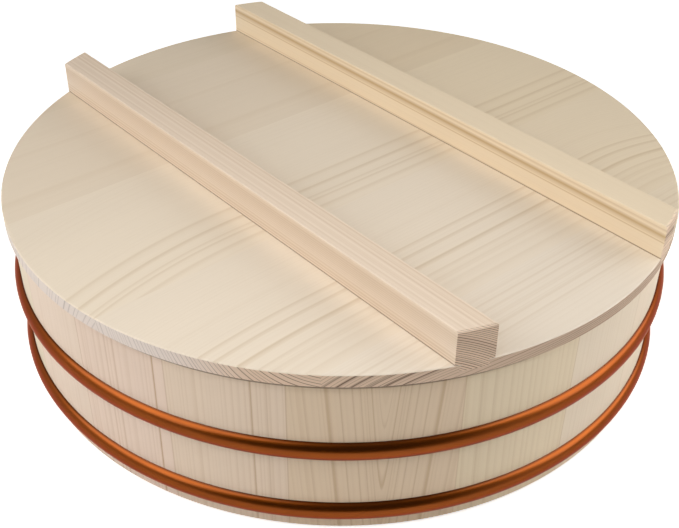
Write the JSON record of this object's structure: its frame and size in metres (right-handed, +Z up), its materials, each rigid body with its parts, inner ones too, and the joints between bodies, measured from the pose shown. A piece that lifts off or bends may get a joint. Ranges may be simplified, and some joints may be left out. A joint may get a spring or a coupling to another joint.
{
  "type": "wooden sushi rice tub with lid",
  "caption": "Low coopered wooden tub for sushi rice, with half-round copper hoops and a flat board lid held by raised battens.",
  "frame": {"origin": "middle of the foot ring, on the surface the tub stands on", "axes": "+Z up; the lid's battens run along Y and the boards of the lid and of the bottom run along X"},
  "size_m": [0.3362, 0.3362, 0.1085],
  "materials": {
    "stave_wood": "planed bare cypress, smooth",
    "bottom_wood": "planed bare cypress, smooth",
    "lid_wood": "planed bare cypress, smooth",
    "batten_wood": "planed bare cypress, smooth",
    "hoop_copper": "polished copper, lacquered",
    "peg_bamboo": "split bamboo, cut by hand"
  },
  "bodies": {
    "root": {"stave_01": "stave_wood", "stave_02": "stave_wood", "stave_03": "stave_wood", "stave_04": "stave_wood", "stave_05": "stave_wood", "stave_06": "stave_wood", "stave_07": "stave_wood", "stave_08": "stave_wood", "stave_09": "stave_wood", "stave_10": "stave_wood", "stave_11": "stave_wood", "stave_12": "stave_wood", "stave_13": "stave_wood", "stave_14": "stave_wood", "stave_15": "stave_wood", "stave_16": "stave_wood", "stave_17": "stave_wood", "stave_18": "stave_wood", "stave_19": "stave_wood", "bottom_plank_1": "bottom_wood", "bottom_plank_2": "bottom_wood", "bottom_plank_3": "bottom_wood", "bottom_plank_4": "bottom_wood", "lid_board_1": "lid_wood", "lid_board_2": "lid_wood", "lid_board_3": "lid_wood", "lid_board_4": "lid_wood", "lid_board_5": "lid_wood", "left_batten": "batten_wood", "right_batten": "batten_wood", "upper_hoop": "hoop_copper", "lower_hoop": "hoop_copper", "stave_pegs": "peg_bamboo", "bottom_pegs": "peg_bamboo", "lid_pegs": "peg_bamboo"}
  },
  "joints": []
}
